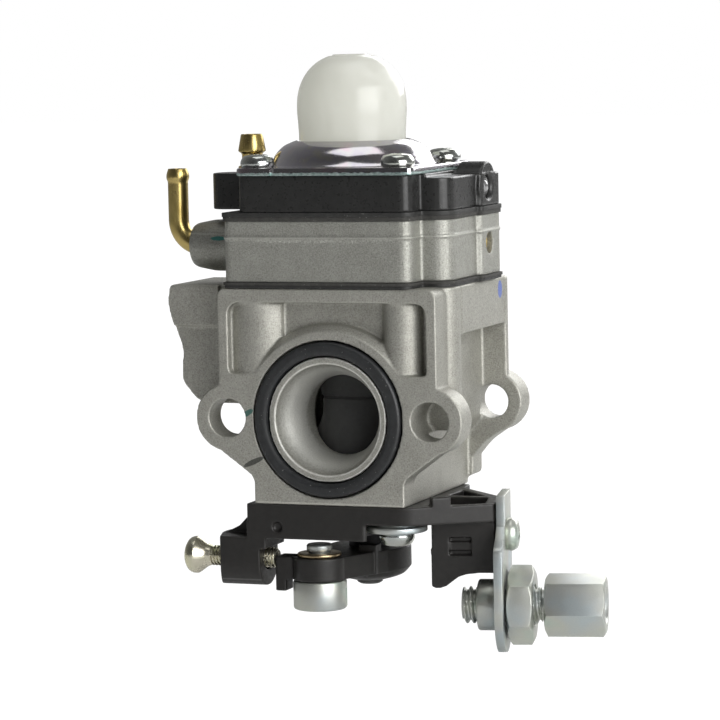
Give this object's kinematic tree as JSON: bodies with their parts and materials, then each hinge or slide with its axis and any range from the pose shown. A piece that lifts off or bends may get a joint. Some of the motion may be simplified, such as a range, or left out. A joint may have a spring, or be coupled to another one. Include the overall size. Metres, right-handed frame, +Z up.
{
  "type": "carburetor",
  "caption": "Small two-stroke diaphragm carburettor with a rotary throttle, metering stack, primer bulb, throttle lever and cable adjuster.",
  "frame": {"origin": "centre of the bore in the engine face", "axes": "+Y from the air intake towards the engine, +Z up to the primer bulb, +X towards the cable adjuster"},
  "size_m": [0.0675, 0.033, 0.0862],
  "materials": {
    "cast_body": "matte speckled die casting",
    "pump_casting": "matte grey die casting",
    "black_plastic": "matte",
    "black_moulding": "matte moulding",
    "rubber": "satin",
    "gasket_fibre": "matte pressed sheet",
    "chrome_plate": "bright plated pressing",
    "bulb": "milky, lets light through",
    "brass": "satin",
    "bronze": "satin",
    "zinc_plate": "zinc plated",
    "yellow_zinc": "pale yellow zinc plated",
    "spring_steel": "bare wire"
  },
  "bodies": {
    "housing": {"main_body": "cast_body", "pump_body": "pump_casting", "purge_body": "black_plastic", "throttle_cover_bracket": "black_moulding", "intake_seal": "rubber", "pump_diaphragm": "rubber", "metering_diaphragm": "rubber", "purge_check_valve": "rubber", "pump_gasket": "gasket_fibre", "metering_gasket": "gasket_fibre", "primer_cover_plate": "chrome_plate", "fuel_nozzle": "brass", "inlet_screen": "brass", "fuel_inlet_elbow": "brass", "pump_passage_plug": "brass", "return_fitting": "brass", "cover_screw_1": "zinc_plate", "cover_screw_2": "zinc_plate", "cover_screw_3": "zinc_plate", "cover_screw_4": "zinc_plate", "bracket_screw_1": "zinc_plate", "bracket_screw_2": "zinc_plate", "bracket_washer_1": "zinc_plate", "bracket_washer_2": "zinc_plate", "cable_plate": "zinc_plate", "cable_plate_screw": "zinc_plate", "plate_collar": "zinc_plate", "side_passage_plug": "zinc_plate", "passage_ball": "zinc_plate", "throttle_return_spring": "spring_steel", "metering_spring": "spring_steel", "metering_lever_pin": "spring_steel"},
    "throttle": {"throttle_rotor": "black_moulding", "jet_needle": "brass", "throttle_lever": "black_moulding", "needle_cap": "black_moulding"},
    "spring_seat": {"spring_seat_washer": "zinc_plate"},
    "swivel": {"cable_swivel": "zinc_plate", "swivel_clip": "bronze"},
    "idle_screw": {"idle_speed_screw": "yellow_zinc"},
    "adjuster": {"cable_adjuster": "zinc_plate"},
    "lock_nut": {"adjuster_lock_nut": "zinc_plate"},
    "bulb": {"primer_bulb": "bulb"},
    "diaphragm_button": {"diaphragm_plate": "zinc_plate"},
    "meter_lever": {"metering_lever": "zinc_plate"},
    "needle_valve": {"inlet_needle": "spring_steel"}
  },
  "joints": [
    {"name": "throttle_turn", "type": "hinge", "parent": "housing", "child": "spring_seat", "pos_m": [0, -0.016, -0.016], "axis": [0, 0, 1], "range_deg": [0, 76], "stiffness_Nm_per_rad": 0.02, "springref_deg": -34.38},
    {"name": "throttle_lift", "type": "slide", "parent": "spring_seat", "child": "throttle", "axis": [0, 0, -1], "range_m": [0, 0.0012], "deforming": ["throttle_return_spring"]},
    {"name": "swivel_turn", "type": "hinge", "parent": "throttle", "child": "swivel", "pos_m": [-0.0032, -0.028, -0.0237], "axis": [0, 0, 1], "continuous": true},
    {"name": "idle_screw_turn", "type": "hinge", "parent": "housing", "child": "idle_screw", "pos_m": [-0.018, -0.0283, -0.0207], "axis": [1, 0, 0], "range_deg": [-1080, 1080]},
    {"name": "adjuster_slide", "type": "slide", "parent": "housing", "child": "adjuster", "axis": [0.9781, 0.2079, 0], "range_m": [-0.0012, 0.004]},
    {"name": "lock_nut_turn", "type": "hinge", "parent": "housing", "child": "lock_nut", "pos_m": [0.02549, -0.02186, -0.0273], "axis": [0.9781, 0.2079, 0], "continuous": true},
    {"name": "primer_press", "type": "slide", "parent": "housing", "child": "bulb", "axis": [0, 0, -1], "range_m": [0, 0.007], "stiffness_N_per_m": 120, "deforming": ["primer_bulb"]},
    {"name": "metering_slide", "type": "slide", "parent": "housing", "child": "diaphragm_button", "axis": [0, 0, -1], "range_m": [0, 0.0006], "stiffness_N_per_m": 40},
    {"name": "metering_lever_turn", "type": "hinge", "parent": "housing", "child": "meter_lever", "pos_m": [0.0002, -0.0165, 0.0262], "axis": [1, 0, 0], "range_deg": [0, 10], "deforming": ["metering_spring"]},
    {"name": "inlet_needle_lift", "type": "slide", "parent": "housing", "child": "needle_valve", "axis": [0, 0, 1], "range_m": [0, 0.0004]}
  ],
  "couplings": [
    {"joint": "throttle_turn", "follows": "throttle_lift", "rad_per_m": 1105.3},
    {"joint": "metering_lever_turn", "follows": "metering_slide", "rad_per_m": 285.7},
    {"joint": "inlet_needle_lift", "follows": "metering_slide", "ratio": 0.6}
  ]
}
